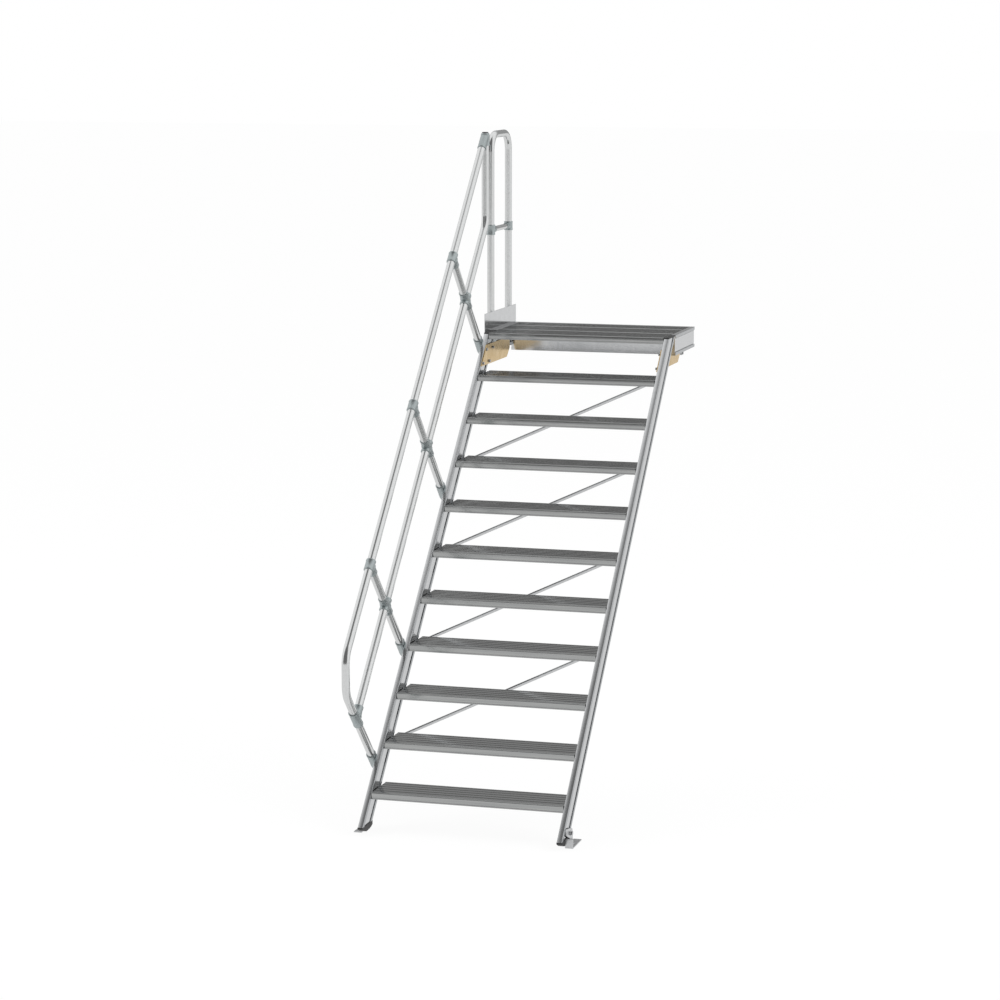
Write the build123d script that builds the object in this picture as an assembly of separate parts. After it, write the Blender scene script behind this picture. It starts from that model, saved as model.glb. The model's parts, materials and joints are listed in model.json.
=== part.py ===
from build123d import *
import math
import os

# Aluminium stair at 45 degrees with a platform, a handrail on the left side and a guard hoop.
# All sizes are millimetres. X runs across the stair, Y runs back under the platform, Z is up.
# Every piece is drawn in the stair's own frame: Z = 0 is the ground, and the front faces of both
# stringers lie in the plane Y = Z. At the end everything is moved so that the origin is the centre
# of the rear beam's flat face, which is fastened to a wall.

# Stair
riser = 208.0
first_riser = 188.0
tread_count = 10
clear_width = 986.0

# Stringer extrusion: two box flanges joined by a recessed hollow web
stringer_width = 27.0
stringer_depth = 110.0
stringer_flange = 22.0
web_recess = 4.0
extrusion_wall = 2.5
stringer_foot = 42.0
cap_thickness = 6.0

# Rubber shoe under each stringer: its slanted front, its flat and its rear, as (Y, Z)
shoe_outline = ((46.0, 32.0), (80.0, 16.0), (106.0, 10.0), (146.0, 12.0), (178.0, 17.0), (197.0, 24.0))

# Tread and deck board extrusion
tread_depth = 218.0
tread_height = 32.0
tread_wall = 2.6
nose_chamfer = 3.0
tread_chambers = 2
end_plate = 4.0
end_plate_drop = 14.0

# Platform
deck_height = 2268.0
platform_front = 2268.0
platform_rear = 2910.0
side_front = 2430.0
side_height = 113.0
side_flange = 17.0
board_gap = 8.0
cross_beam_front = 2720.0
cross_beam_width = 30.0
cross_beam_bottom = 2128.0
cross_beam_wall = 3.0
cross_beam_lip = 14.0
cross_beam_lip_step = 2.0
rear_beam_width = 27.0
rear_beam_wall = 4.0
toe_height = 101.0
toe_overlap = 50.0
toe_front = 2284.0
toe_thickness = 3.0

# Rails
tube_radius = 20.0
rail_x = -(clear_width / 2 + stringer_width + tube_radius)
hand_offset = 981.0
knee_offset = 495.0
post_stations = (335.0, 812.0, 1519.0, 2226.0)
rail_end_y = 2360.0
rail_front_y = -59.0
rail_bend = 120.0
top_joint_top = 3356.0

# Cast fittings of the railing
fitting_radius = 24.5
branch_radius = 23.0
sleeve_half = 36.0
socket_length = 62.0
low_joint_half = 55.0
low_joint_branch = 68.0
top_sleeve_drop = 55.0
top_joint_branch = 98.0
foot_depth = 91.0
foot_mouth = 30.0

# Guard hoop
hoop_x = rail_x - toe_thickness
hoop_legs = (2479.0, 2834.0)
hoop_top = 3360.0
hoop_bend = 95.0
hoop_foot = 2185.0
mid_bar_z = 2818.0
mid_bar_radius = 15.0
neck_radius = 21.0
neck_length = 62.0
clamp_heights = (56.0, 50.0)

# Flat-bar braces behind the treads
brace_width = 8.0
brace_depth = 18.4
brace_offset = 263.0
brace_reach = 470.0
brace_drop = 18.0
brace_overrun = 9.0
lug_width = 8.0
lug_height = 24.0

# Floor brackets: base plate, upstand at one end and an ear, drawn as (Y, Z) from the front end
plate_thickness = 5.0
foot_plate_width = 40.0
foot_plate_front = 105.0
foot_plate_length = 167.0
foot_upstand = 46.0
ear_outline = (
    (130.0, 0.0), (79.0, 0.0), (79.0, 28.0), (7.0, 60.0),
    (0.0, 93.0), (100.0, 77.0), (118.0, 70.0), (130.0, 53.0),
)
anchor_radius = 7.0
anchor_inset = 18.0

# Platform brackets
bracket_front_set = 6.0
bracket_bottom = 2100.0
bracket_top = 2208.0
bracket_rear = 2668.0
bracket_chamfer_run = 58.0
bracket_chamfer_rise = 46.0

# Wall bolts
wall_bolt_x = 440.0
wall_bolt_radius = 6.5

inner_x = clear_width / 2
outer_x = inner_x + stringer_width
stringer_centre = inner_x + stringer_width / 2
slope_cut = stringer_depth * math.sqrt(2)
rear_face_z = deck_height - side_height / 2
board_bottom = deck_height - tread_height
board_length = clear_width - 2 * end_plate
slope = Vector(0, 1, 1).normalized()
across = Vector(0, 1, -1).normalized()
origin_shift = Pos(0, -platform_rear, -rear_face_z)

os.makedirs("parts", exist_ok=True)


def save(name, *solids):
    """Writes one node: its solids, moved to the wall face's frame."""
    moved = [origin_shift * solid for solid in solids]
    shape = moved[0] if len(moved) == 1 else Compound(children=moved)
    export_step(shape, f"parts/{name}.step")


def tread_nose(number):
    """Y and Z of a tread's front top edge, which are equal."""
    return first_riser + riser * (number - 1)


def mirrored(solid):
    """The same piece on the other side of the stair."""
    return mirror(solid, about=Plane.YZ)


def side_plane(x):
    """The upright plane across X: its own X is the stair's Y, its own Y is Z."""
    return Plane(origin=(x, 0, 0), x_dir=(0, 1, 0), z_dir=(1, 0, 0))


def side_sheet(x_low, thickness, outline):
    """A plate parallel to the stair's sides, from its outline as (Y, Z)."""
    return extrude(side_plane(x_low) * Polygon(*outline, align=None), thickness, dir=(1, 0, 0))


def extrusion_profile(depth, width, flange, recess):
    """Section of the stringer and side profile: X is the depth, Y the width."""
    web = depth - 2 * flange
    outline = Rectangle(depth, width)
    for side in (1, -1):
        outline -= Pos(0, side * (width / 2)) * Rectangle(web, 2 * recess)
    chamber_width = width - 2 * extrusion_wall
    for side in (1, -1):
        place = Pos(side * (depth / 2 - flange / 2), 0)
        outline -= place * Rectangle(flange - 2 * extrusion_wall, chamber_width)
    outline -= Rectangle(web - extrusion_wall, width - 2 * recess - 2 * extrusion_wall)
    return outline


def stringer(x_centre):
    """One stringer along the slope, cut level at its foot and its top."""
    top = deck_height - cap_thickness
    length = (top + slope_cut) * math.sqrt(2)
    middle = across * (stringer_depth / 2)
    plane = Plane(origin=(x_centre, middle.Y, middle.Z), x_dir=across, z_dir=slope)
    profile = extrusion_profile(stringer_depth, stringer_width, stringer_flange, web_recess)
    bar = extrude(plane * profile, length)
    keep_height = top - stringer_foot
    keep = Pos(x_centre, top / 2, stringer_foot + keep_height / 2)
    return bar & (keep * Box(4 * stringer_width, 4 * top, keep_height))


def top_cap():
    """The plastic cap on the left stringer's level top, with the same slant front and rear."""
    low = deck_height - cap_thickness
    bottom = ((low, low), (low + slope_cut, low))
    top = ((deck_height + slope_cut, deck_height), (deck_height, deck_height))
    return side_sheet(-outer_x, stringer_width, bottom + top)


def shoe():
    """The rubber shoe under the left stringer."""
    top = ((stringer_foot + slope_cut, stringer_foot), (stringer_foot, stringer_foot))
    return side_sheet(-outer_x, stringer_width, shoe_outline + top)


def tread_section(depth):
    """Section of a tread: X is the depth from the nose, Y is up, the top face at zero."""
    outline = Pos(depth / 2, -tread_height / 2) * Rectangle(depth, tread_height)
    outline = chamfer(outline.vertices().sort_by(Axis.X)[:2], nose_chamfer)
    chamber = (depth - (tread_chambers + 1) * tread_wall) / tread_chambers
    chamber_height = tread_height - 2 * tread_wall
    for number in range(tread_chambers):
        start = tread_wall + number * (chamber + tread_wall)
        outline -= Pos(start + chamber / 2, -tread_height / 2) * Rectangle(chamber, chamber_height)
    return outline


def board(nose_y, top_z, depth):
    """A tread or deck board, centred across the stair."""
    plane = Plane(origin=(-board_length / 2, nose_y, top_z), x_dir=(0, 1, 0), z_dir=(1, 0, 0))
    return extrude(plane * tread_section(depth), board_length)


def board_ends(nose_y, top_z, depth):
    """The pair of plastic end plates that carry a tread or deck board."""
    height = tread_height + end_plate_drop
    x = inner_x - end_plate / 2
    left = Pos(-x, nose_y + depth / 2, top_z - height / 2) * Box(end_plate, depth, height)
    return [left, mirrored(left)]


def bar_between(start, end, radius):
    """A round bar from one point to another."""
    start = Vector(*start)
    along = Vector(*end) - start
    return extrude(Plane(origin=start, z_dir=along) * Circle(radius), along.length)


def bent_bar(points, bend):
    """A round bar along straight runs joined by tangent arcs."""
    path = FilletPolyline(*points, radius=bend)
    return sweep(Plane(origin=path @ 0, z_dir=path % 0) * Circle(tube_radius), path)


def rail_point(station, offset):
    """A point of the railing's plane: station along the slope, offset above the nosing line."""
    return Vector(rail_x, station - offset / 2, station + offset / 2)


def offset_of(distance):
    """How far the offset changes over a distance square to the slope."""
    return distance * math.sqrt(2)


def post(number, station):
    """A post square to the slope. The first ends at the low joint, the others reach the handrail."""
    gap = low_joint_half if number == 1 else socket_length
    foot = rail_point(station, foot_mouth)
    pieces = [bar_between(foot, rail_point(station, knee_offset - offset_of(gap)), tube_radius)]
    if number > 1:
        start = rail_point(station, knee_offset + offset_of(gap))
        end = rail_point(station, hand_offset - offset_of(gap))
        pieces.append(bar_between(start, end, tube_radius))
    return pieces


def rail_fitting(station, offset, sides):
    """A sleeve bored for a rail, with sockets square to it that the posts butt against."""
    centre = rail_point(station, offset)
    body = bar_between(centre - slope * sleeve_half, centre + slope * sleeve_half, fitting_radius)
    for side in sides:
        body += bar_between(centre, centre + across * side * socket_length, fitting_radius)
    return body - bar_between(centre - slope * socket_length, centre + slope * socket_length, tube_radius)


def post_foot(station):
    """The half-round foot that carries a post on the stringer's outer face."""
    start = rail_point(station, -offset_of(foot_depth))
    body = bar_between(start, rail_point(station, foot_mouth), fitting_radius)
    reach = 4 * foot_depth
    outside = Pos(-outer_x - reach / 2, station, station) * Box(reach, 2 * reach, 2 * reach)
    return body & outside


def guard_clamp(leg, direction, height):
    """A sleeve around a leg of the hoop, with a neck that tapers to the middle bar."""
    body = Pos(hoop_x, leg, mid_bar_z) * Cylinder(fitting_radius, height)
    neck_plane = Plane(origin=(hoop_x, leg, mid_bar_z), z_dir=(0, direction, 0))
    neck = Cone(neck_radius, mid_bar_radius, neck_length, align=(Align.CENTER, Align.CENTER, Align.MIN))
    body += neck_plane.location * neck
    return body - Pos(hoop_x, leg, mid_bar_z) * Cylinder(tube_radius, 2 * height)


def brace(number):
    """A flat bar on edge under three treads, with a wedge at each end on the tread's rear face."""
    low_z = tread_nose(2 * number) - brace_drop
    high_z = low_z + 2 * riser
    start = Vector(-brace_reach, low_z + brace_offset, low_z)
    end = Vector(brace_reach, high_z + brace_offset, high_z)
    along = (end - start).normalized()
    plane = Plane(origin=start - along * brace_overrun, x_dir=across, z_dir=along)
    body = extrude(plane * Rectangle(brace_depth, brace_width), (end - start).length + 2 * brace_overrun)
    for point in (start, end):
        nose = point.Z + brace_drop
        heel = (nose + tread_depth, nose - tread_height)
        outline = (heel, (heel[0] + lug_height, heel[1] + lug_height), (heel[0], heel[1] + lug_height))
        body += side_sheet(point.X - lug_width / 2, lug_width, outline)
    return body


def floor_bracket():
    """The right bracket. Its base reaches outwards from the stringer."""
    outline = [(foot_plate_front + y, z) for y, z in ear_outline]
    body = side_sheet(outer_x, plate_thickness, outline)
    x = outer_x + foot_plate_width / 2
    middle = foot_plate_front + foot_plate_length / 2
    body += Pos(x, middle, plate_thickness / 2) * Box(foot_plate_width, foot_plate_length, plate_thickness)
    upstand = Pos(x, foot_plate_front + plate_thickness / 2, foot_upstand / 2)
    body += upstand * Box(foot_plate_width, plate_thickness, foot_upstand)
    hole = Pos(outer_x + foot_plate_width - anchor_inset, middle, plate_thickness / 2)
    return body - hole * Cylinder(anchor_radius, 4 * plate_thickness)


# Stringers with their caps and shoes
left_stringer = stringer(-stringer_centre)
save("stringer_left", left_stringer)
save("stringer_right", mirrored(left_stringer))
left_cap = top_cap()
save("stringer_caps", left_cap, mirrored(left_cap))
left_shoe = shoe()
save("stringer_shoes", left_shoe, mirrored(left_shoe))

# Treads, deck boards and the end plates that carry them
end_plates = []
for number in range(1, tread_count + 1):
    nose = tread_nose(number)
    save(f"tread_{number:02d}", board(nose, nose, tread_depth))
    end_plates += board_ends(nose, nose, tread_depth)
board_start = platform_front
deck_end = platform_rear - rear_beam_width
for name in ("deck_board_front", "deck_board_middle", "deck_board_rear"):
    board_depth = min(tread_depth, deck_end - board_start)
    save(name, board(board_start, deck_height, board_depth))
    end_plates += board_ends(board_start, deck_height, board_depth)
    board_start += board_depth + board_gap
save("board_end_plates", *end_plates)

# Side profiles of the platform, cut square behind the stringers
side_profile = extrusion_profile(side_height, stringer_width, side_flange, web_recess)
side_start = Plane(origin=(-stringer_centre, side_front, rear_face_z), x_dir=(0, 0, 1), z_dir=(0, 1, 0))
side_left = extrude(side_start * side_profile, platform_rear - side_front)
save("platform_side_left", side_left)
save("platform_side_right", mirrored(side_left))

# Cross beam: a box with a lip along its lower front edge, under the end plates of the rear board
cross_beam_top = board_bottom - end_plate_drop
cross_beam_rear = cross_beam_front + cross_beam_width
lip_front = cross_beam_front - cross_beam_lip_step
lip_top = cross_beam_bottom + cross_beam_lip
beam_outline = (
    (lip_front, cross_beam_bottom), (cross_beam_rear, cross_beam_bottom),
    (cross_beam_rear, cross_beam_top), (cross_beam_front, cross_beam_top),
    (cross_beam_front, lip_top), (lip_front, lip_top),
)
beam_chamber = (
    (cross_beam_front + cross_beam_wall, cross_beam_bottom + cross_beam_wall),
    (cross_beam_rear - cross_beam_wall, cross_beam_bottom + cross_beam_wall),
    (cross_beam_rear - cross_beam_wall, cross_beam_top - cross_beam_wall),
    (cross_beam_front + cross_beam_wall, cross_beam_top - cross_beam_wall),
)
cross_beam = side_sheet(-inner_x, clear_width, beam_outline)
cross_beam -= side_sheet(-inner_x, clear_width, beam_chamber)
save("platform_cross_beam", cross_beam)

# Rear beam: a channel between the side profiles, its flat web against the wall
rear_section = Rectangle(rear_beam_width, side_height)
channel_place = Pos(-rear_beam_wall, 0)
rear_section -= channel_place * Rectangle(rear_beam_width, side_height - 2 * rear_beam_wall)
rear_plane = Plane(
    origin=(-inner_x, platform_rear - rear_beam_width / 2, rear_face_z),
    x_dir=(0, 1, 0),
    z_dir=(1, 0, 0),
)
rear_beam = extrude(rear_plane * rear_section, clear_width)
for x in (-wall_bolt_x, wall_bolt_x):
    hole = Pos(x, platform_rear, rear_face_z) * Rot(90, 0, 0)
    rear_beam -= hole * Cylinder(wall_bolt_radius, 4 * rear_beam_wall)
save("platform_rear_beam", rear_beam)

# Toe board on the outer face of the left side
toe_bottom = deck_height - toe_overlap
toe_top = deck_height + toe_height
toe_outline = (
    (toe_front, toe_bottom), (platform_rear, toe_bottom),
    (platform_rear, toe_top), (toe_front, toe_top),
)
save("toe_board", side_sheet(-outer_x - toe_thickness, toe_thickness, toe_outline))

# Platform brackets on the inner faces of the stringers and side profiles
bracket_outline = (
    (bracket_bottom + bracket_front_set, bracket_bottom),
    (bracket_rear - bracket_chamfer_run, bracket_bottom),
    (bracket_rear, bracket_bottom + bracket_chamfer_rise),
    (bracket_rear, bracket_top),
    (bracket_top + bracket_front_set, bracket_top),
)
left_bracket = side_sheet(-inner_x, plate_thickness, bracket_outline)
save("platform_bracket_left", left_bracket)
save("platform_bracket_right", mirrored(left_bracket))

# Handrail: from the low joint up, then along the slope to the top joint
low_joint = rail_point(post_stations[0], knee_offset)
hand_top_z = rail_end_y + hand_offset
rail_start = low_joint - across * low_joint_half
rail_stop = top_joint_branch / math.sqrt(2)
handrail_points = (
    (rail_x, rail_start.Y, rail_start.Z),
    (rail_x, rail_front_y, low_joint.Y + low_joint.Z - rail_front_y),
    (rail_x, rail_front_y, rail_front_y + hand_offset),
    (rail_x, rail_end_y - rail_stop, hand_top_z - rail_stop),
)
handrail = bent_bar(handrail_points, rail_bend)

# Knee rail: along the slope, then upright to the top joint
knee_start = low_joint + slope * low_joint_branch
knee_points = (
    (rail_x, knee_start.Y, knee_start.Z),
    (rail_x, rail_end_y, rail_end_y + knee_offset),
    (rail_x, rail_end_y, hand_top_z - top_sleeve_drop),
)
knee_rail = bent_bar(knee_points, rail_bend)

# Posts with their feet and cast joints
posts = []
for number, station in enumerate(post_stations, start=1):
    posts += post(number, station)
hand_joints = [rail_fitting(station, hand_offset, (1,)) for station in post_stations[1:]]
knee_joints = [rail_fitting(station, knee_offset, (1, -1)) for station in post_stations[1:]]
post_feet = [post_foot(station) for station in post_stations]

low_end = low_joint + across * low_joint_half
low_body = bar_between(rail_start, low_end, fitting_radius)
low_body += bar_between(low_joint, low_joint + slope * low_joint_branch, branch_radius)
save("knee_rail_joints", low_body, *knee_joints)

top_point = Vector(rail_x, rail_end_y, hand_top_z)
sleeve_low = (rail_x, rail_end_y, hand_top_z - top_sleeve_drop)
sleeve_high = (rail_x, rail_end_y, top_joint_top)
top_body = bar_between(sleeve_low, sleeve_high, fitting_radius)
branch = bar_between(top_point, top_point - slope * top_joint_branch, branch_radius)
branch_reach = 2 * top_joint_branch
under_top = Pos(rail_x, rail_end_y, top_joint_top - branch_reach / 2)
branch = branch & (under_top * Box(branch_reach, 2 * branch_reach, branch_reach))
save("handrail_joints", top_body + branch, *hand_joints)

# Guard hoop with its middle bar and clamps
hoop_low, hoop_high = hoop_legs
hoop_axis_top = hoop_top - tube_radius
hoop_points = (
    (hoop_x, hoop_low, hoop_foot),
    (hoop_x, hoop_low, hoop_axis_top),
    (hoop_x, hoop_high, hoop_axis_top),
    (hoop_x, hoop_high, hoop_foot),
)
save("bent_rails", handrail, knee_rail, bent_bar(hoop_points, hoop_bend))
mid_start = (hoop_x, hoop_low + neck_length, mid_bar_z)
mid_end = (hoop_x, hoop_high - neck_length, mid_bar_z)
save("posts_and_middle_bar", *posts, bar_between(mid_start, mid_end, mid_bar_radius))
clamp_low = guard_clamp(hoop_low, 1, clamp_heights[0])
clamp_high = guard_clamp(hoop_high, -1, clamp_heights[1])
save("railing_clamps", clamp_low, clamp_high, *post_feet)

for number in range(1, 5):
    save(f"brace_{number}", brace(number))

# Floor brackets: the left one is the same part turned half round
right_floor_bracket = floor_bracket()
turn_y = 2 * foot_plate_front + foot_plate_length
save("floor_bracket_right", right_floor_bracket)
save("floor_bracket_left", Pos(0, turn_y, 0) * Rot(0, 0, 180) * right_floor_bracket)
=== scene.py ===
import json
import math
import bpy
import numpy as np
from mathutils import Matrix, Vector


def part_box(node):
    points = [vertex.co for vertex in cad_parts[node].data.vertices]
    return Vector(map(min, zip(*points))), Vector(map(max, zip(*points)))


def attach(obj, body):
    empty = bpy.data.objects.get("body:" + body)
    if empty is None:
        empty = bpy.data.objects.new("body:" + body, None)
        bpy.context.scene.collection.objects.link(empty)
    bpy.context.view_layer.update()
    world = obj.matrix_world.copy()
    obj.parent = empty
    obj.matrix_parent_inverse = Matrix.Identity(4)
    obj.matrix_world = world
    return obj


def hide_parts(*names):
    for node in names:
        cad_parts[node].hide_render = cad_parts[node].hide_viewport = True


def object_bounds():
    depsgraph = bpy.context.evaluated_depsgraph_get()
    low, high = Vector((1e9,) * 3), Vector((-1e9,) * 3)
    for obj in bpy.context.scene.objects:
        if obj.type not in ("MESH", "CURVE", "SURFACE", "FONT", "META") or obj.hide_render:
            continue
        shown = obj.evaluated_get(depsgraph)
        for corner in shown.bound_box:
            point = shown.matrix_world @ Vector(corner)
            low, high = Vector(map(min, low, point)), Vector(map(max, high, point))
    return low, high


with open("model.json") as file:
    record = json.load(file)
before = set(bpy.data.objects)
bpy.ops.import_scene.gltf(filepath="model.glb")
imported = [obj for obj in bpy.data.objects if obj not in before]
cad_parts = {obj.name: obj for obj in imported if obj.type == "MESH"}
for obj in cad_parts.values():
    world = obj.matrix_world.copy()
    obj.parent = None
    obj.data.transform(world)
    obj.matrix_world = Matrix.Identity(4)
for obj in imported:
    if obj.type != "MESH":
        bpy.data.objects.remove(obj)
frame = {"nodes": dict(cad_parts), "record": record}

# Dressing for an aluminium stair with a platform, in metres. Shapes are written in the stair's own
# frame, where the floor is at zero and the stringers' front faces lie in the plane y = z. toRow
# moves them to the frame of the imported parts, whose origin is on the rear beam's wall face.

nodes = frame["nodes"]
subparts = frame["record"]["subparts"]
stair = {
    "innerX": 0.493,
    "stringerWidth": 0.027,
    "deck": 2.268,
    "rear": 2.910,
    "wallFaceHeight": 2.2115,
}
outerX = stair["innerX"] + stair["stringerWidth"]
sideWay = np.array([1.0, 0.0, 0.0])
upWay = np.array([0.0, 0.0, 1.0])
slopeWay = np.array([0.0, 1.0, 1.0]) / math.sqrt(2.0)
acrossWay = np.array([0.0, 1.0, -1.0]) / math.sqrt(2.0)


def toRow(points):
    return np.asarray(points, float) - np.array([0.0, stair["rear"], stair["wallFaceHeight"]])


def boxAsLists():
    return [[float(value) for value in corner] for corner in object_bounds()]


cadBox = boxAsLists()
print("stage 1: frame loaded,", len(nodes), "nodes")

camera = {
    "place": (4.2359, -16.8788, 1.7938),
    "downTilt": 0.1564,
    "leftTurn": 0.2798,
    "lens": 111.302,
    "sensor": 36.0,
    "farthest": 300.0,
}


def setCamera():
    data = bpy.data.cameras.new("camera")
    data.lens = camera["lens"]
    data.sensor_width = camera["sensor"]
    data.clip_end = camera["farthest"]
    thing = bpy.data.objects.new("camera", data)
    thing.location = camera["place"]
    thing.rotation_euler = (math.pi / 2 - camera["downTilt"], 0.0, camera["leftTurn"])
    bpy.context.scene.collection.objects.link(thing)
    bpy.context.scene.camera = thing


setCamera()

noiseRange = (0.3, 0.7)
evenScale = (1.0, 1.0, 1.0)
# the mix node has several sockets of one name, so its colour sockets are found by their places
mixFactor = 0
mixFirst = 6
mixSecond = 7
mixResult = 2


def newMaterial(name):
    material = bpy.data.materials.new(name)
    material.use_nodes = True
    tree = material.node_tree
    tree.nodes.clear()
    output = tree.nodes.new("ShaderNodeOutputMaterial")
    shader = tree.nodes.new("ShaderNodeBsdfPrincipled")
    tree.links.new(shader.outputs["BSDF"], output.inputs["Surface"])
    return material, tree, shader


def coordinates(tree, scale):
    # object coordinates, stretched per axis
    source = tree.nodes.new("ShaderNodeTexCoord")
    mapping = tree.nodes.new("ShaderNodeMapping")
    mapping.inputs["Scale"].default_value = scale
    tree.links.new(source.outputs["Object"], mapping.inputs["Vector"])
    return mapping.outputs["Vector"]


def noise(tree, vector, scale, detail):
    texture = tree.nodes.new("ShaderNodeTexNoise")
    texture.inputs["Scale"].default_value = scale
    texture.inputs["Detail"].default_value = detail
    tree.links.new(vector, texture.inputs["Vector"])
    return texture.outputs["Fac"]


def ramp(tree, value, stops):
    node = tree.nodes.new("ShaderNodeValToRGB")
    elements = node.color_ramp.elements
    while len(elements) < len(stops):
        elements.new(0.5)
    for element, (place, colour) in zip(elements, stops):
        element.position = place
        element.color = (*colour, 1.0)
    tree.links.new(value, node.inputs["Fac"])
    return node.outputs["Color"]


def shades(tree, value, dark, light):
    return ramp(tree, value, [(noiseRange[0], dark), (noiseRange[1], light)])


def spread(tree, value, low, high):
    # the noise's range stretched to the range from low to high
    node = tree.nodes.new("ShaderNodeMapRange")
    node.inputs["From Min"].default_value = noiseRange[0]
    node.inputs["From Max"].default_value = noiseRange[1]
    node.inputs["To Min"].default_value = low
    node.inputs["To Max"].default_value = high
    tree.links.new(value, node.inputs["Value"])
    return node.outputs["Result"]


def bump(tree, shader, height, strength, distance):
    node = tree.nodes.new("ShaderNodeBump")
    node.inputs["Strength"].default_value = strength
    node.inputs["Distance"].default_value = distance
    tree.links.new(height, node.inputs["Height"])
    tree.links.new(node.outputs["Normal"], shader.inputs["Normal"])


def mathNode(tree, operation, *values):
    # one operation on sockets or plain numbers, given in the order of the node's inputs
    node = tree.nodes.new("ShaderNodeMath")
    node.operation = operation
    for socket, value in zip(node.inputs, values):
        if isinstance(value, float):
            socket.default_value = value
        else:
            tree.links.new(value, socket)
    return node.outputs[0]


def multiplyColours(tree, first):
    # a node for the product of the first colour and a second one, which the caller sets
    node = tree.nodes.new("ShaderNodeMix")
    node.data_type = "RGBA"
    node.blend_type = "MULTIPLY"
    tree.links.new(first, node.inputs[mixFirst])
    return node


def mixShaders(tree, share, first, second, output):
    # the first shader where the share is zero and the second where it is one
    node = tree.nodes.new("ShaderNodeMixShader")
    tree.links.new(share, node.inputs["Fac"])
    tree.links.new(first, node.inputs[1])
    tree.links.new(second, node.inputs[2])
    tree.links.new(node.outputs["Shader"], output.inputs["Surface"])


# the first entry is the grey that darkens metal where shade is painted on the flanges' sides
metalLook = {"flangeShadeTint": (0.66, 0.67, 0.68, 1.0), "lineDetail": 4.0, "cloudScale": 3.0, "cloudDetail": 2.0}


def shaded(tree, colour):
    # painted shade: the colour, darker where the mesh's own shade attribute is one, on the flanges' sides
    flangeShade = tree.nodes.new("ShaderNodeAttribute")
    flangeShade.attribute_name = "flangeShade"
    mix = multiplyColours(tree, colour)
    mix.inputs[mixSecond].default_value = metalLook["flangeShadeTint"]
    tree.links.new(flangeShade.outputs["Fac"], mix.inputs[mixFactor])
    return mix.outputs[mixResult]


def metal(name, dark, light, roughness, stretch, grain, strength, depth):
    # metal whose colour and height follow one noise, and whose roughness follows slow clouds
    material, tree, shader = newMaterial(name)
    lines = noise(tree, coordinates(tree, stretch), grain, metalLook["lineDetail"])
    clouds = noise(tree, coordinates(tree, evenScale), metalLook["cloudScale"], metalLook["cloudDetail"])
    tree.links.new(shaded(tree, shades(tree, lines, dark, light)), shader.inputs["Base Color"])
    tree.links.new(spread(tree, clouds, *roughness), shader.inputs["Roughness"])
    shader.inputs["Metallic"].default_value = 1.0
    bump(tree, shader, lines, strength, depth)
    return material


metals = {
    "stringer": {
        "dark": (0.68, 0.69, 0.70), "light": (0.74, 0.75, 0.76), "roughness": (0.13, 0.19),
        "stretch": evenScale, "grain": 60.0, "strength": 0.02, "depth": 0.0001,
    },
    "tread": {
        "dark": (0.44, 0.45, 0.45), "light": (0.51, 0.515, 0.51), "roughness": (0.12, 0.18),
        "stretch": (0.3, 12.0, 12.0), "grain": 12.0, "strength": 0.04, "depth": 0.0001,
    },
    "tube": {
        "dark": (0.79, 0.80, 0.80), "light": (0.84, 0.85, 0.85), "roughness": (0.14, 0.18),
        "stretch": evenScale, "grain": 80.0, "strength": 0.01, "depth": 0.0001,
    },
    "casting": {
        "dark": (0.47, 0.52, 0.53), "light": (0.54, 0.59, 0.59), "roughness": (0.36, 0.46),
        "stretch": evenScale, "grain": 320.0, "strength": 0.12, "depth": 0.0003,
    },
    "toe": {
        "dark": (0.68, 0.69, 0.70), "light": (0.73, 0.74, 0.75), "roughness": (0.10, 0.15),
        "stretch": evenScale, "grain": 30.0, "strength": 0.03, "depth": 0.0001,
    },
    "zinc": {
        "dark": (0.62, 0.63, 0.64), "light": (0.74, 0.75, 0.76), "roughness": (0.22, 0.32),
        "stretch": evenScale, "grain": 90.0, "strength": 0.08, "depth": 0.0002,
    },
    "yellow": {
        "dark": (0.74, 0.52, 0.22), "light": (0.86, 0.64, 0.34), "roughness": (0.22, 0.32),
        "stretch": evenScale, "grain": 22.0, "strength": 0.06, "depth": 0.0002,
    },
}
plasticLook = {
    "dark": (0.012, 0.012, 0.013), "light": (0.03, 0.03, 0.03), "roughness": (0.42, 0.55),
    "grain": 900.0, "detail": 2.0, "strength": 0.2, "depth": 0.0002,
}


def plastic(name, dark, light, roughness, grain, detail, strength, depth):
    # moulded plastic with a fine grain in its colour, roughness and height
    material, tree, shader = newMaterial(name)
    speckle = noise(tree, coordinates(tree, evenScale), grain, detail)
    tree.links.new(shades(tree, speckle, dark, light), shader.inputs["Base Color"])
    tree.links.new(spread(tree, speckle, *roughness), shader.inputs["Roughness"])
    bump(tree, shader, speckle, strength, depth)
    return material


metalOf = {name: metal(name, **values) for name, values in metals.items()}
finishes = {
    "stringer_profile": metalOf["stringer"],
    "tread_profile": metalOf["tread"],
    "rail_tube": metalOf["tube"],
    "cast_fitting": metalOf["casting"],
    "toe_sheet": metalOf["toe"],
    "brace_steel": metalOf["zinc"],
    "floor_steel": metalOf["zinc"],
    "yellow_steel": metalOf["yellow"],
    "black_plastic": plastic("blackPlastic", **plasticLook),
}

for row in subparts:
    nodeMesh = nodes[row["node"]].data
    nodeMesh.materials.clear()
    nodeMesh.materials.append(finishes[row["material_slot"]])
print("stage 2: finishes on the packed parts")


def gridFaces(rows, columns):
    # quads between the rings of a skin: row after row, each ring closed on itself
    i, j = np.meshgrid(np.arange(rows - 1), np.arange(columns), indexing="ij")
    following = (j + 1) % columns
    near = i * columns
    far = near + columns
    quads = np.stack([near + j, near + following, far + following, far + j], axis=-1)
    return quads.reshape(-1, 4).tolist()


def ringsPart(rings):
    # a closed skin through rings of points, with a flat face over the first and the last ring
    rows, columns = rings.shape[:2]
    faces = gridFaces(rows, columns)
    faces.append(list(range(columns))[::-1])
    faces.append(list(range((rows - 1) * columns, rows * columns)))
    return rings.reshape(-1, 3), faces


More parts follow.
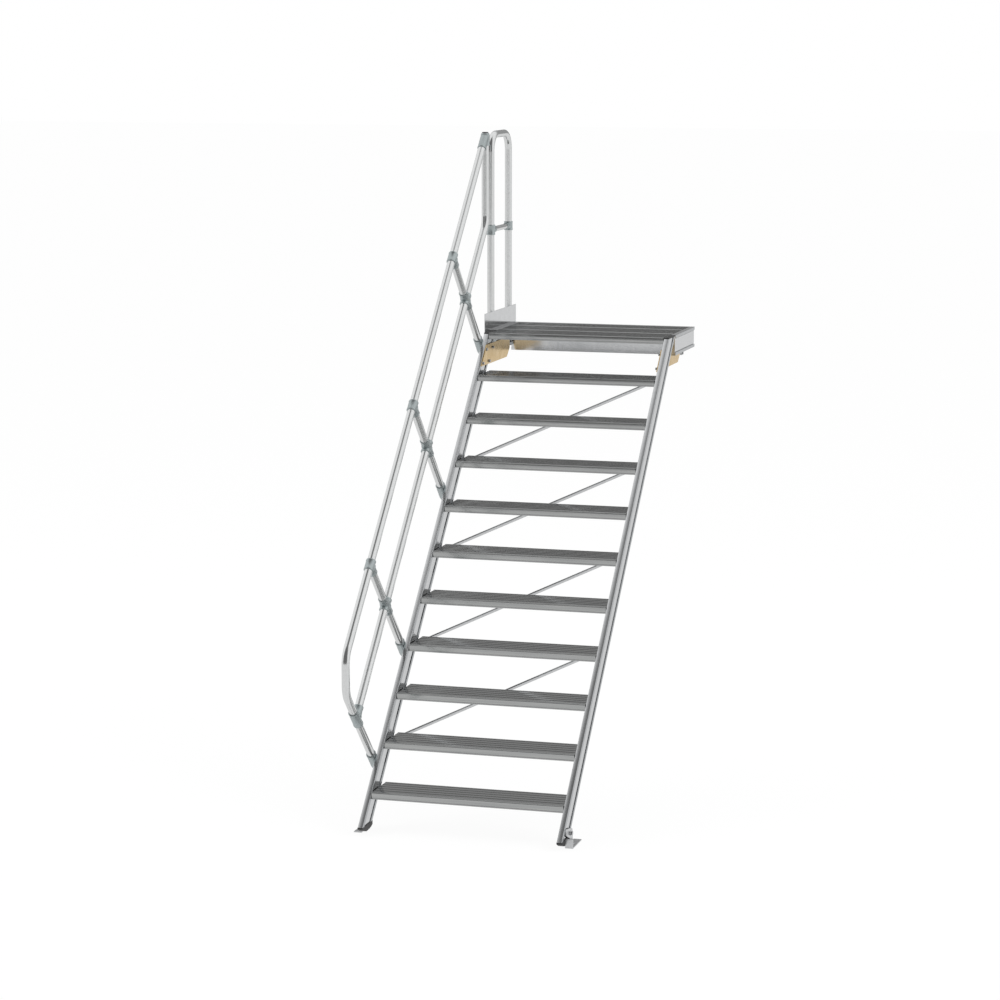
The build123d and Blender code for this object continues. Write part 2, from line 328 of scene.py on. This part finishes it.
def joined(parts):
    # several skins as one, each with its own points
    starts = np.cumsum([0] + [len(points) for points, faces in parts]).tolist()
    points = np.concatenate([points for points, faces in parts])
    faces = [[corner + start for corner in face] for start, part in zip(starts, parts) for face in part[1]]
    return points, faces


def addPiece(name, part, slot, replaced=(), edgeAngle=32.0, flangeShade=None):
    # a finished piece: edges sharper than the angle stay sharp, the rest is shaded smooth
    points, faces = part
    mesh = bpy.data.meshes.new(name)
    mesh.from_pydata(toRow(points).tolist(), [], faces)
    mesh.update()
    # the attribute carries the share of painted shade on the flanges' sides
    if flangeShade is not None:
        mesh.attributes.new("flangeShade", "FLOAT", "POINT").data.foreach_set("value", flangeShade)
    mesh.materials.append(finishes[slot])
    mesh.shade_smooth()
    mesh.set_sharp_from_angle(angle=math.radians(edgeAngle))
    thing = bpy.data.objects.new(name, mesh)
    bpy.context.scene.collection.objects.link(thing)
    if replaced:
        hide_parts(*replaced)
    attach(thing, "root")


def roundedOutline(corners, radius, steps):
    # a closed outline whose corners are arcs: centre + radius * the unit vector between the arc's
    # first and last direction
    corners = np.asarray(corners, float)
    back = np.roll(corners, 1, axis=0) - corners
    ahead = np.roll(corners, -1, axis=0) - corners
    back /= np.linalg.norm(back, axis=1)[:, None]
    ahead /= np.linalg.norm(ahead, axis=1)[:, None]
    half = 0.5 * np.arccos(np.sum(back * ahead, axis=1))
    middle = back + ahead
    middle /= np.linalg.norm(middle, axis=1)[:, None]
    centre = corners + middle * (radius / np.sin(half))[:, None]
    first = corners + back * (radius / np.tan(half))[:, None] - centre
    last = corners + ahead * (radius / np.tan(half))[:, None] - centre
    t = np.linspace(0.0, 1.0, steps + 1)[None, :, None]
    arc = first[:, None, :] * (1 - t) + last[:, None, :] * t
    arc *= radius / np.linalg.norm(arc, axis=2, keepdims=True)
    return (centre[:, None, :] + arc).reshape(-1, 2)


def alongX(outline, low, high):
    # an outline in Y and Z carried along X from low to high
    side = np.column_stack([np.zeros(len(outline)), outline])
    return ringsPart(np.stack([side + low * sideWay, side + high * sideWay]))


tread = {
    "height": 0.034,
    "overhang": 0.010,
    "margin": 0.014,
    "barPitch": 0.036,
    "barWidth": 0.0065,
    "shoulder": 0.0004,
    "fieldDepth": 0.0016,
    "ribPitch": 0.0055,
    "ribHeight": 0.0005,
    "noseRadius": 0.0036,
    "noseSteps": 6,
    "lowEdge": 0.0010,
    "grooveHeights": (0.0045, 0.0055, 0.0070, 0.0080),
    "grooveDepth": 0.0010,
    "capThickness": 0.0015,
    "capInset": 0.0020,
    "capCorner": 0.001,
    "capSteps": 2,
}


def ribbedTop(depth):
    # raised bars at an even pitch, and between them a lower field with fine triangular ribs:
    # height = -fieldDepth + ribHeight on every second point of a field, and zero on a bar
    inner = depth - 2 * tread["margin"]
    bars = max(1, round(inner / tread["barPitch"]))
    pitch = (inner + tread["barWidth"]) / bars
    start = tread["margin"] + pitch * np.arange(bars)
    stop = start + pitch - tread["barWidth"]
    ribs = 2 * int((pitch - tread["barWidth"]) / tread["ribPitch"])
    share = np.linspace(0.0, 1.0, ribs + 1)
    fieldWidth = (stop - start - 2 * tread["shoulder"])[:, None]
    fieldY = start[:, None] + tread["shoulder"] + share * fieldWidth
    ribZ = tread["ribHeight"] * (np.arange(ribs + 1) % 2)
    fieldZ = np.broadcast_to(ribZ - tread["fieldDepth"], fieldY.shape)
    level = np.zeros((bars, 1))
    y = np.concatenate([start[:, None], fieldY, stop[:, None]], axis=1).ravel()
    z = np.concatenate([level, fieldZ, level], axis=1).ravel()
    return list(zip(y, z))


def treadOutline(depth, overhang):
    # from the lower rear corner: underside, front with a shallow groove, nose as a quarter circle,
    # ribbed top
    under = -tread["height"]
    front = -overhang
    edge = tread["lowEdge"]
    groove = front + tread["grooveDepth"]
    heights = [under + height for height in tread["grooveHeights"]]
    radius = tread["noseRadius"]
    turn = np.linspace(0.0, math.pi / 2, tread["noseSteps"])
    nose = np.column_stack([front + radius - radius * np.cos(turn), -radius + radius * np.sin(turn)])
    lower = [(depth, under), (front + edge, under), (front, under + edge)]
    grooved = list(zip((front, groove, groove, front), heights))
    return np.array(lower + grooved + nose.tolist() + ribbedTop(depth) + [(depth, 0.0)])


def boardPieces():
    # every tread and deck board, and a thin black cap at each of their ends
    reach = stair["innerX"] - tread["capThickness"]
    inset = tread["capInset"]
    caps = []
    for row in subparts:
        name = row["node"]
        if row["material_slot"] != "tread_profile":
            continue
        low, high = [np.array(corner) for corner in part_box(name)]
        nose = low[1] + stair["rear"]
        top = high[2] + stair["wallFaceHeight"]
        depth = high[1] - low[1]
        isFront = name.startswith("tread") or name.endswith("front")
        overhang = tread["overhang"] if isFront else 0.0
        outline = treadOutline(depth, overhang)[::-1] + [nose, top]
        addPiece("board_" + name, alongX(outline, -reach, reach), "tread_profile", [name])
        front = nose - overhang + inset
        rear = nose + depth - inset
        under = top - tread["height"] + inset
        capTop = top - inset
        corners = [(front, under), (rear, under), (rear, capTop), (front, capTop)]
        capOutline = roundedOutline(corners, tread["capCorner"], tread["capSteps"])
        for end in (-1, 1):
            near, far = sorted((end * reach, end * stair["innerX"]))
            caps.append(alongX(capOutline, near, far))
    addPiece("boardEndCaps", joined(caps), "black_plastic", ["board_end_plates"])


boardPieces()
print("stage 3: ribbed treads and deck boards")

profile = {
    "stringerDepth": 0.110,
    "stringerFlange": 0.022,
    "stringerCrown": 0.0008,
    "sideHeight": 0.113,
    "sideFlange": 0.017,
    "sideCrown": 0.0004,
    "recess": 0.004,
    "slot": 0.004,
    "slotDepth": 0.0060,
    "corner": 0.0014,
    "cornerSteps": 5,
    "flangeSteps": 6,
    "footCut": 0.042,
    "topCut": 0.006,
    "sideFront": 2.430,
    "edgeAngle": 40.0,
}


def beamOutline(depth, flange, crown):
    # section of a frame profile, a quarter of it mirrored twice: a corner arc, a flange whose side
    # bulges by crown * (1 - (2 * t - 1) squared), a slot beside the flange and a recessed web
    halfDepth = depth / 2
    halfWidth = stair["stringerWidth"] / 2
    corner = profile["corner"]
    turn = np.linspace(0.0, math.pi / 2, profile["cornerSteps"])
    cornerPart = np.column_stack([
        halfDepth - corner + corner * np.cos(turn),
        halfWidth - crown - corner + corner * np.sin(turn),
    ])
    t = np.linspace(0.0, 1.0, profile["flangeSteps"] + 1)[1:]
    flangePart = np.column_stack([
        halfDepth - corner - t * (flange - corner),
        halfWidth - crown + crown * (1 - (2 * t - 1) ** 2),
    ])
    slotStart = halfDepth - flange
    slotEnd = slotStart - profile["slot"]
    slotFloor = halfWidth - profile["slotDepth"]
    web = halfWidth - profile["recess"]
    slotPart = [(slotStart, slotFloor), (slotEnd, slotFloor), (slotEnd, web)]
    quarter = np.concatenate([cornerPart, flangePart, slotPart])
    upper = np.concatenate([quarter, (quarter * [-1, 1])[::-1]])
    return np.concatenate([upper, (upper * [1, -1])[::-1]])


def flangeShadeShare():
    # share of painted shade for the points of beamOutline in both rings: one on the flanges' sides, falling
    # to zero over the corners, and zero on the slots and the web
    cornerShare = [0.0, 0.0, 0.3, 0.7, 1.0]
    quarter = np.concatenate([cornerShare, np.ones(profile["flangeSteps"]), np.zeros(3)])
    upper = np.concatenate([quarter, quarter[::-1]])
    return np.tile(np.concatenate([upper, upper[::-1]]), 2)


def stringerPart(centreX):
    # the section lies square to the slope, and each of its points, at its distance below the front
    # face, goes from the foot's level cut to the top's: run = root of two * level + distance
    section = beamOutline(profile["stringerDepth"], profile["stringerFlange"], profile["stringerCrown"])
    distance = profile["stringerDepth"] / 2 - section[:, 0]
    rings = []
    for level in (profile["footCut"], stair["deck"] - profile["topCut"]):
        run = math.sqrt(2.0) * level + distance
        ring = distance[:, None] * acrossWay + run[:, None] * slopeWay
        ring[:, 0] = centreX + section[:, 1]
        rings.append(ring)
    return ringsPart(np.stack(rings))


def sidePart(centreX):
    # the platform's side profile: its section stands square to Y and is carried along Y
    section = beamOutline(profile["sideHeight"], profile["sideFlange"], profile["sideCrown"])
    height = stair["wallFaceHeight"] + section[:, 0]
    rings = [
        np.column_stack([centreX + section[:, 1], np.full(len(section), y), height])
        for y in (profile["sideFront"], stair["rear"])
    ]
    return ringsPart(np.stack(rings))


middleX = stair["innerX"] + stair["stringerWidth"] / 2
for label, node, side, makePart in (
    ("stringerLeft", "stringer_left", -1, stringerPart),
    ("stringerRight", "stringer_right", 1, stringerPart),
    ("sideProfileLeft", "platform_side_left", -1, sidePart),
    ("sideProfileRight", "platform_side_right", 1, sidePart),
):
    part = makePart(side * middleX)
    addPiece(label, part, "stringer_profile", [node], profile["edgeAngle"], flangeShadeShare())
print("stage 4: stringers and side profiles")

rails = {
    "x": -0.540,
    "hoopX": -0.543,
    "radius": 0.020,
    "bend": 0.120,
    "bendSteps": 20,
    "stations": (0.335, 0.812, 1.519, 2.226),
    "hand": 0.981,
    "knee": 0.495,
    "endY": 2.360,
    "frontY": -0.059,
    "hoopBend": 0.095,
    "hoopSteps": 28,
    "hoopLegs": (2.479, 2.834),
    "hoopFoot": 2.185,
    "hoopTop": 3.3399,
    "barHeight": 2.818,
    "barRadius": 0.015,
    "segments": 48,
    "edgeAngle": 50.0,
}
# how far from the middle of a fitting each tube ends inside it
tubeEnd = {
    "foot": 0.020,
    "lowJoint": 0.050,
    "socket": 0.058,
    "kneeStart": 0.060,
    "kneeTop": 0.050,
    "handTop": 0.090,
}


def roundedRoute(corners, radius=0.0, steps=2):
    # a route in the plane of Y and Z, as points with directions: straight runs joined by tangent
    # arcs, centre + start * cos(t) + direction * radius * sin(t)
    corners = np.asarray(corners, float)
    points = [corners[0]]
    ways = [corners[1] - corners[0]]
    for before, corner, after in zip(corners[:-2], corners[1:-1], corners[2:]):
        back = (before - corner) / np.linalg.norm(before - corner)
        ahead = (after - corner) / np.linalg.norm(after - corner)
        half = 0.5 * math.acos(float(back @ ahead))
        middle = (back + ahead) / np.linalg.norm(back + ahead)
        centre = corner + middle * radius / math.sin(half)
        start = corner + back * radius / math.tan(half) - centre
        t = np.linspace(0.0, math.pi - 2 * half, steps)[:, None]
        points.extend(centre + start * np.cos(t) - back * radius * np.sin(t))
        ways.extend(-back * np.cos(t) - start / radius * np.sin(t))
    points.append(corners[-1])
    ways.append(corners[-1] - corners[-2])
    ways = np.array(ways)
    return np.array(points), ways / np.linalg.norm(ways, axis=1)[:, None]


def circle(first, second, segments):
    # unit vectors all round: first * cos(angle) + second * sin(angle)
    angle = np.linspace(0.0, 2 * math.pi, segments, endpoint=False)
    return np.cos(angle)[:, None] * first + np.sin(angle)[:, None] * second


def tubeAlong(route, x, radius):
    # a round tube: every ring stands square to the route, at the route's point + radius * circle
    points, ways = route
    outward = np.column_stack([np.zeros(len(ways)), -ways[:, 1], ways[:, 0]])
    centre = np.column_stack([np.full(len(points), x), points])
    ring = circle(-sideWay, outward[:, None, :], rails["segments"])
    return ringsPart(centre[:, None, :] + radius * ring)


def railPoint(station, offset):
    # the point at the given offset above the slope, square to the slope at the station
    return np.array([station - offset / 2, station + offset / 2])


def railPieces():
    # handrail, knee rail and guard hoop as one piece, the posts and the hoop's middle bar as another
    slope = slopeWay[1:]
    across = acrossWay[1:]
    x = rails["x"]
    radius = rails["radius"]
    stations = rails["stations"]
    joint = railPoint(stations[0], rails["knee"])
    frontY = rails["frontY"]
    endY = rails["endY"]
    handEnd = np.array([endY, endY + rails["hand"]])
    hand = roundedRoute([
        joint - across * tubeEnd["lowJoint"],
        (frontY, joint.sum() - frontY),
        (frontY, frontY + rails["hand"]),
        handEnd - slope * tubeEnd["handTop"],
    ], rails["bend"], rails["bendSteps"])
    knee = roundedRoute([
        joint + slope * tubeEnd["kneeStart"],
        (endY, endY + rails["knee"]),
        (endY, handEnd[1] - tubeEnd["kneeTop"]),
    ], rails["bend"], rails["bendSteps"])
    frontLeg, rearLeg = rails["hoopLegs"]
    hoop = roundedRoute([
        (frontLeg, rails["hoopFoot"]),
        (frontLeg, rails["hoopTop"]),
        (rearLeg, rails["hoopTop"]),
        (rearLeg, rails["hoopFoot"]),
    ], rails["hoopBend"], rails["hoopSteps"])
    bent = [tubeAlong(hand, x, radius), tubeAlong(knee, x, radius), tubeAlong(hoop, rails["hoopX"], radius)]
    addPiece("bentRails", joined(bent), "rail_tube", ["bent_rails"], rails["edgeAngle"])
    posts = []
    for number, station in enumerate(stations):
        gap = across * (tubeEnd["socket"] if number else tubeEnd["lowJoint"])
        kneePoint = railPoint(station, rails["knee"])
        lower = roundedRoute([railPoint(station, tubeEnd["foot"]), kneePoint + gap])
        posts.append(tubeAlong(lower, x, radius))
        if number:
            upper = roundedRoute([kneePoint - gap, railPoint(station, rails["hand"]) + gap])
            posts.append(tubeAlong(upper, x, radius))
    inset = tubeEnd["socket"]
    bar = roundedRoute([(frontLeg + inset, rails["barHeight"]), (rearLeg - inset, rails["barHeight"])])
    posts.append(tubeAlong(bar, rails["hoopX"], rails["barRadius"]))
    addPiece("postTubes", joined(posts), "rail_tube", ["posts_and_middle_bar"], rails["edgeAngle"])


railPieces()


def turned(shape, origin, way, segments=48):
    # a turned solid: at each given distance along the way, a ring of the given radius
    shape = np.asarray(shape, float)
    way = np.asarray(way, float) / np.linalg.norm(way)
    helper = sideWay if abs(way[0]) < 0.9 else upWay
    first = np.cross(helper, way)
    first /= np.linalg.norm(first)
    second = np.cross(way, first)
    centres = np.asarray(origin, float) + shape[:, 1:2] * way
    return ringsPart(centres[:, None, :] + shape[:, 0][:, None, None] * circle(first, second, segments))


fitting = {
    "radius": 0.0245,
    "branch": 0.0235,
    "lip": 0.0010,
    "rim": 0.0060,
    "fade": 0.0025,
    "edge": 0.0018,
    "roundRise": 0.6,
    "roundPlace": 0.4,
    "wall": 0.0045,
    "flare": 0.0035,
    "flareStart": 0.012,
    "flareLength": 0.030,
    "flareSteps": 8,
    "teeHalf": 0.030,
    "crossHalf": 0.036,
    "socket": 0.062,
    "lowHalf": 0.055,
    "lowSocket": 0.068,
    "topHeight": 3.356,
    "topLength": 0.070,
    "topArm": 0.098,
    "clampRadius": 0.0235,
    "clampHeights": (0.056, 0.050),
    "footMouth": 0.0213,
    "footReach": 0.091,
    "edgeAngle": 60.0,
}
# how far from the middle of a fitting each grub screw sits, and the screws' radii
screwAt = {"socket": 0.048, "low": 0.052, "top": 0.075, "clamp": 0.055}
screw = {"radius": 0.0042, "clampRadius": 0.0032, "clampFace": 0.0182, "segments": 12}


def lipShape(radius, end, inward):
    # the rounded raised lip at a sleeve's end, from the sleeve to its mouth: radius and place
    raised = radius + fitting["lip"]
    rim = fitting["rim"]
    edge = fitting["edge"]
    return [
        (radius, end + inward * (rim + fitting["fade"])),
        (raised, end + inward * rim),
        (raised, end + inward * edge),
        (radius + fitting["roundRise"] * fitting["lip"], end + inward * fitting["roundPlace"] * edge),
        (radius - edge, end),
        (radius - fitting["wall"], end),
    ]


def sleevePart(radius, half, centre, way):
    # a straight sleeve with a lip at both ends
    shape = lipShape(radius, -half, 1)[::-1] + lipShape(radius, half, -1)
    return turned(shape, centre, way)


def socketPart(high, centre, way):
    # a socket that flares where it leaves the sleeve: radius + flare * (1 - t) squared
    radius = fitting["branch"]
    t = np.linspace(0.0, 1.0, fitting["flareSteps"])
    flared = np.column_stack([
        radius + fitting["flare"] * (1 - t) ** 2,
        fitting["flareStart"] + fitting["flareLength"] * t,
    ])
    root = (radius - 0.006, 0.002)
    return turned([root] + flared.tolist() + lipShape(radius, high, -1), centre, way)


def grubScrew(centre, radius):
    # a small socket screw standing a little proud on the right, with a hollow in its end
    hollow = radius * 0.55
    shape = [
        (radius, -0.004), (radius, 0.0010), (radius - 0.0006, 0.0016),
        (hollow, 0.0016), (hollow, -0.0010),
    ]
    return turned(shape, centre, sideWay, screw["segments"])


def socketScrew(centre, way, distance):
    return grubScrew(centre + way * distance + sideWay * fitting["branch"], screw["radius"])


def inSpace(x, point):
    return np.array([x, point[0], point[1]])


def kneeFittings():
    # crosses on the knee rail and the low joint; returns their screws
    radius = fitting["radius"]
    parts = []
    screws = []
    for station in rails["stations"][1:]:
        centre = inSpace(rails["x"], railPoint(station, rails["knee"]))
        parts.append(sleevePart(radius, fitting["crossHalf"], centre, slopeWay))
        for way in (acrossWay, -acrossWay):
            parts.append(socketPart(fitting["socket"], centre, way))
            screws.append(socketScrew(centre, way, screwAt["socket"]))
    low = inSpace(rails["x"], railPoint(rails["stations"][0], rails["knee"]))
    parts.append(sleevePart(radius, fitting["lowHalf"], low, acrossWay))
    parts.append(socketPart(fitting["lowSocket"], low, slopeWay))
    screws.append(socketScrew(low, slopeWay, screwAt["low"]))
    addPiece("kneeFittings", joined(parts), "cast_fitting", ["knee_rail_joints"], fitting["edgeAngle"])
    return screws


def handrailFittings():
    # tees on the handrail and the top joint with its plug; returns their screws
    radius = fitting["radius"]
    branch = fitting["branch"]
    parts = []
    screws = []
    for station in rails["stations"][1:]:
        centre = inSpace(rails["x"], railPoint(station, rails["hand"]))
        parts.append(sleevePart(radius, fitting["teeHalf"], centre, slopeWay))
        parts.append(socketPart(fitting["socket"], centre, acrossWay))
        screws.append(socketScrew(centre, acrossWay, screwAt["socket"]))
    top = np.array([rails["x"], rails["endY"], fitting["topHeight"]])
    shoulder = [
        (radius, -0.014), (radius - 0.0008, -0.009), (radius - 0.0026, -0.0045),
        (radius - 0.0052, -0.0015), (radius - 0.0075, 0.0),
    ]
    parts.append(turned(lipShape(radius, -fitting["topLength"], 1)[::-1] + shoulder, top, upWay))
    elbow = np.array([rails["x"], rails["endY"], rails["endY"] + rails["hand"]])
    root = [(0.010, 0.004), (branch - 0.003, 0.008), (branch, 0.018)]
    parts.append(turned(root + lipShape(branch, fitting["topArm"], -1), elbow, -slopeWay))
    screws.append(socketScrew(elbow, -slopeWay, screwAt["top"]))
    addPiece("handrailFittings", joined(parts), "cast_fitting", ["handrail_joints"], fitting["edgeAngle"])
    plug = [(0.0172, -0.004), (0.0172, 0.0028), (0.0166, 0.0034), (0.0150, 0.0038)]
    addPiece("railPlug", turned(plug, top, upWay), "black_plastic")
    return screws


def clampFittings():
    # clamps of the hoop's middle bar and the posts' feet, which end on the stringer's outer face;
    # returns the clamps' screws
    neck = [
        (0.012, 0.004), (0.0225, 0.014), (0.0205, 0.022), (0.0186, 0.032), (0.0180, 0.048),
        (0.0186, 0.051), (0.0186, 0.0605), (0.0172, 0.062), (0.0140, 0.062),
    ]
    parts = []
    screws = []
    for leg, way, height in zip(rails["hoopLegs"], (1, -1), fitting["clampHeights"]):
        centre = np.array([rails["hoopX"], leg, rails["barHeight"]])
        parts.append(sleevePart(fitting["clampRadius"], height / 2, centre, upWay))
        parts.append(turned(neck, centre, (0, way, 0)))
        spot = centre + np.array([screw["clampFace"], way * screwAt["clamp"], 0.0])
        screws.append(grubScrew(spot, screw["clampRadius"]))
    radius = fitting["radius"]
    reach = fitting["footReach"]
    tip = [(radius, reach - 0.016), (0.0218, reach), (0.017, reach + 0.008), (0.010, reach + 0.010)]
    for station in rails["stations"]:
        foot = inSpace(rails["x"], railPoint(station, 0.0))
        points, faces = turned(lipShape(radius, -fitting["footMouth"], 1)[::-1] + tip, foot, acrossWay)
        points[:, 0] = np.minimum(points[:, 0], -outerX)
        parts.append((points, faces))
    addPiece("clampFittings", joined(parts), "cast_fitting", ["railing_clamps"], fitting["edgeAngle"])
    return screws


grubScrews = kneeFittings() + handrailFittings() + clampFittings()
addPiece("grubScrews", joined(grubScrews), "brace_steel")
print("stage 5: rails and cast fittings")

bolts = {
    "plate": 0.005,
    "bracketHeights": (2.115, 2.184),
    "bracketOffsets": (0.016, 0.140),
    "footPlace": (0.191, 0.054),
    "chamferFrom": 0.86,
    "chamferShare": 0.88,
    "washerSegments": 28,
}
bracketBolt = {"flats": 0.013, "height": 0.0075, "disc": 0.0095, "thick": 0.0018}
footBolt = {"flats": 0.017, "height": 0.0095, "disc": 0.0125, "thick": 0.0022}


def hexBolt(centre, way, flats, height, disc, thick):
    # a round washer and a six-sided head with a chamfered end
    radius = flats / math.sqrt(3.0)
    head = [
        (radius, thick),
        (radius, thick + height * bolts["chamferFrom"]),
        (radius * bolts["chamferShare"], thick + height),
    ]
    washer = [(disc, -0.0006), (disc, thick * 0.8), (disc - 0.0004, thick)]
    return [turned(head, centre, way, 6), turned(washer, centre, way, bolts["washerSegments"])]


def boltPieces():
    # four bolts in each platform bracket and one in each floor bracket's upright ear
    steel = []
    for side in (-1, 1):
        face = side * (stair["innerX"] - bolts["plate"])
        for z in bolts["bracketHeights"]:
            for offset in bolts["bracketOffsets"]:
                steel += hexBolt((face, z + offset, z), -side * sideWay, **bracketBolt)
        ear = (side * (outerX + bolts["plate"]), *bolts["footPlace"])
        steel += hexBolt(ear, side * sideWay, **footBolt)
    addPiece("frameBolts", joined(steel), "brace_steel")


boltPieces()
print("stage 6: bolts")

groundHeight = cadBox[0][2]
floorLook = {
    "half": 90.0,
    "colour": (0.9, 0.9, 0.9, 1.0),
    "roughness": 0.9,
    "seen": 0.90,
    "white": 1.04,
    "mirrored": 0.75,
}


def floorMaterial():
    # pale paint under a glow: the glow's share is "seen" for the camera and whole in reflections,
    # so the object's shadow stays faintly visible on white
    material, tree, shader = newMaterial("floorPaint")
    output = [node for node in tree.nodes if node.type == "OUTPUT_MATERIAL"][0]
    shader.inputs["Base Color"].default_value = floorLook["colour"]
    shader.inputs["Roughness"].default_value = floorLook["roughness"]
    shader.inputs["Specular IOR Level"].default_value = 0.0
    rays = tree.nodes.new("ShaderNodeLightPath")
    cameraRay = rays.outputs["Is Camera Ray"]
    share = mathNode(tree, "MULTIPLY_ADD", cameraRay, floorLook["seen"], rays.outputs["Is Glossy Ray"])
    extra = floorLook["white"] - floorLook["mirrored"]
    glow = tree.nodes.new("ShaderNodeEmission")
    strength = mathNode(tree, "MULTIPLY_ADD", cameraRay, extra, floorLook["mirrored"])
    tree.links.new(strength, glow.inputs["Strength"])
    mixShaders(tree, share, shader.outputs["BSDF"], glow.outputs["Emission"], output)
    return material


def stageFloor():
    # a flat square grid, level with the lowest point of the brackets
    steps = np.linspace(-floorLook["half"], floorLook["half"], 3)
    x, y = np.meshgrid(steps, steps)
    points = np.stack([x.ravel(), y.ravel(), np.full(x.size, groundHeight)], axis=1)
    first = np.array([0, 1, 3, 4])
    faces = np.stack([first, first + 1, first + 4, first + 3], axis=1)
    mesh = bpy.data.meshes.new("floor")
    mesh.from_pydata(points.tolist(), [], faces.tolist())
    mesh.materials.append(floorMaterial())
    thing = bpy.data.objects.new("floor", mesh)
    bpy.context.scene.collection.objects.link(thing)


stageFloor()

# stops run over a direction's measure from -1 to 1, moved to the range from 0 to 1
sky = {
    "sideShare": 0.6,
    "overhead": [
        (0.000, 0.15), (0.440, 0.15), (0.4615, 0.30), (0.507, 0.53), (0.5245, 0.80),
        (0.600, 0.82), (0.800, 0.90), (1.000, 0.82),
    ],
    "farSide": [(0.000, 1.0), (0.860, 1.0), (0.930, 0.55), (0.960, 0.38), (1.000, 0.38)],
}


def greyRamp(tree, measure, stops):
    moved = tree.nodes.new("ShaderNodeMapRange")
    moved.inputs["From Min"].default_value = -1.0
    tree.links.new(measure, moved.inputs["Value"])
    return ramp(tree, moved.outputs["Result"], [(at, (level, level, level)) for at, level in stops])


def setWorld():
    # a soft sky, the product of two levels: the first follows y + sideShare * |x| of the direction,
    # dark behind the camera and bright at the sides, and the second darkens the far side by y.
    # The camera itself sees plain white
    world = bpy.data.worlds.new("studio")
    bpy.context.scene.world = world
    world.use_nodes = True
    tree = world.node_tree
    tree.nodes.clear()
    output = tree.nodes.new("ShaderNodeOutputWorld")
    place = tree.nodes.new("ShaderNodeTexCoord")
    axes = tree.nodes.new("ShaderNodeSeparateXYZ")
    tree.links.new(place.outputs["Generated"], axes.inputs["Vector"])
    sideways = mathNode(tree, "ABSOLUTE", axes.outputs["X"])
    measure = mathNode(tree, "MULTIPLY_ADD", sideways, sky["sideShare"], axes.outputs["Y"])
    product = multiplyColours(tree, greyRamp(tree, measure, sky["overhead"]))
    product.inputs[mixFactor].default_value = 1.0
    tree.links.new(greyRamp(tree, axes.outputs["Y"], sky["farSide"]), product.inputs[mixSecond])
    mirrored = tree.nodes.new("ShaderNodeBackground")
    tree.links.new(product.outputs[mixResult], mirrored.inputs["Color"])
    plain = tree.nodes.new("ShaderNodeBackground")
    plain.inputs["Color"].default_value = (1.0, 1.0, 1.0, 1.0)
    rays = tree.nodes.new("ShaderNodeLightPath")
    cameraRay = rays.outputs["Is Camera Ray"]
    mixShaders(tree, cameraRay, mirrored.outputs["Background"], plain.outputs["Background"], output)


setWorld()

lamps = {
    "softRight": {"place": (9.0, -1.0, 5.5), "size": 5.0, "power": 260.0},
    "softLeft": {"place": (-9.0, -3.0, 6.0), "size": 5.0, "power": 200.0},
}
lampTarget = (0.0, -1.4, -0.6)


def setLamp(name, place, size, power):
    # a square lamp turned to the target; it lights the stair but isn't mirrored in it
    data = bpy.data.lights.new(name, "AREA")
    data.size = size
    data.energy = power
    thing = bpy.data.objects.new(name, data)
    thing.location = place
    thing.visible_glossy = False
    aim = np.array(lampTarget) - np.array(place)
    flat = math.hypot(aim[0], aim[1])
    thing.rotation_euler = (math.atan2(flat, -aim[2]), 0.0, math.atan2(-aim[0], aim[1]))
    bpy.context.scene.collection.objects.link(thing)


for lampName, lamp in lamps.items():
    setLamp(lampName, **lamp)

bpy.context.scene.view_settings.view_transform = "Standard"
print("stage 7: floor, sky and lamps")
